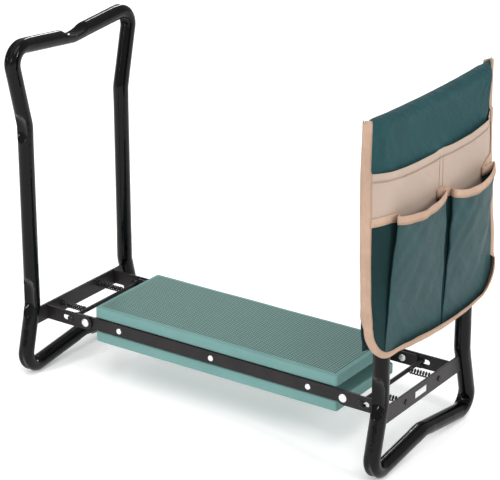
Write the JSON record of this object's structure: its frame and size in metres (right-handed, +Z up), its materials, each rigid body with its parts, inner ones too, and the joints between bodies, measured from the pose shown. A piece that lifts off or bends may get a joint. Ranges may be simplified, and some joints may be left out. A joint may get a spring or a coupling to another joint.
{
  "type": "garden kneeler seat",
  "caption": "Folding garden kneeler and seat: foam pads on a steel seat between two hinged tube side frames, with a pocketed tool bag over one handle.",
  "frame": {"origin": "on the floor, under the middle of the object's outline", "axes": "+X along the seat towards the frame with the tool bag, +Y to the back, +Z up"},
  "size_m": [0.6159, 0.3184, 0.4937],
  "materials": {
    "eva_foam": "matte",
    "board": "matte",
    "satin_bar": "satin",
    "gloss_tube": "gloss",
    "rivet": "satin",
    "spring_steel": "satin",
    "black_plastic": "matte",
    "label": "satin",
    "green_cloth": "matte",
    "beige_cloth": "matte",
    "binding_tape": "matte"
  },
  "bodies": {
    "seat": {"upper_pad": "eva_foam", "lower_pad": "eva_foam", "upper_board": "board", "lower_board": "board", "cross_bar_left": "satin_bar", "cross_bar_centre": "satin_bar", "cross_bar_right": "satin_bar", "front_rail": "satin_bar", "rear_rail": "satin_bar", "rail_rivet_front_left": "rivet", "rail_rivet_front_centre": "rivet", "rail_rivet_front_right": "rivet", "pivot_rivet_front_left": "rivet", "pivot_washer_front_left": "black_plastic", "pivot_rivet_front_right": "rivet", "pivot_washer_front_right": "black_plastic", "rail_rivet_rear_left": "rivet", "rail_rivet_rear_centre": "rivet", "rail_rivet_rear_right": "rivet", "pivot_rivet_rear_left": "rivet", "pivot_washer_rear_left": "black_plastic", "pivot_rivet_rear_right": "rivet", "pivot_washer_rear_right": "black_plastic"},
    "left_frame": {"left_side_frame": "gloss_tube", "left_cross_plate": "satin_bar", "left_front_arm": "satin_bar", "left_front_lock_spring": "spring_steel", "left_front_spring_plug": "black_plastic", "left_rear_arm": "satin_bar", "left_rear_lock_spring": "spring_steel", "left_rear_spring_plug": "black_plastic"},
    "right_frame": {"right_side_frame": "gloss_tube", "right_cross_plate": "satin_bar", "right_front_arm": "satin_bar", "right_front_lock_spring": "spring_steel", "right_front_spring_plug": "black_plastic", "right_rear_arm": "satin_bar", "right_rear_lock_spring": "spring_steel", "right_rear_spring_plug": "black_plastic", "label_plate": "label", "bag_front_panel": "green_cloth", "bag_back_panel": "green_cloth", "bag_top_fold": "green_cloth", "bag_pocket_left": "green_cloth", "bag_pocket_right": "green_cloth", "bag_side_seam_front": "binding_tape", "bag_side_seam_rear": "binding_tape", "bag_binding": "binding_tape", "bag_wide_pocket": "beige_cloth"},
    "left_lock": {"left_front_lock_clip": "satin_bar", "left_rear_lock_clip": "satin_bar", "left_lock_rod": "satin_bar"},
    "right_lock": {"right_front_lock_clip": "satin_bar", "right_rear_lock_clip": "satin_bar", "right_lock_rod": "satin_bar"}
  },
  "joints": [
    {"name": "left_fold", "type": "hinge", "parent": "seat", "child": "left_frame", "pos_m": [-0.22435, 0, 0.08293], "axis": [0, 1, 0], "range_deg": [0, 94]},
    {"name": "right_fold", "type": "hinge", "parent": "seat", "child": "right_frame", "pos_m": [0.20265, 0, 0.08293], "axis": [0, -1, 0], "range_deg": [0, 84]},
    {"name": "left_lock_slide", "type": "slide", "parent": "left_frame", "child": "left_lock", "axis": [-1, 0, 0], "range_m": [0, 0.009], "stiffness_N_per_m": 600, "springref_m": -0.015, "deforming": ["left_front_lock_spring", "left_rear_lock_spring"]},
    {"name": "right_lock_slide", "type": "slide", "parent": "right_frame", "child": "right_lock", "axis": [1, 0, 0], "range_m": [0, 0.009], "stiffness_N_per_m": 600, "springref_m": -0.015, "deforming": ["right_front_lock_spring", "right_rear_lock_spring"]}
  ]
}
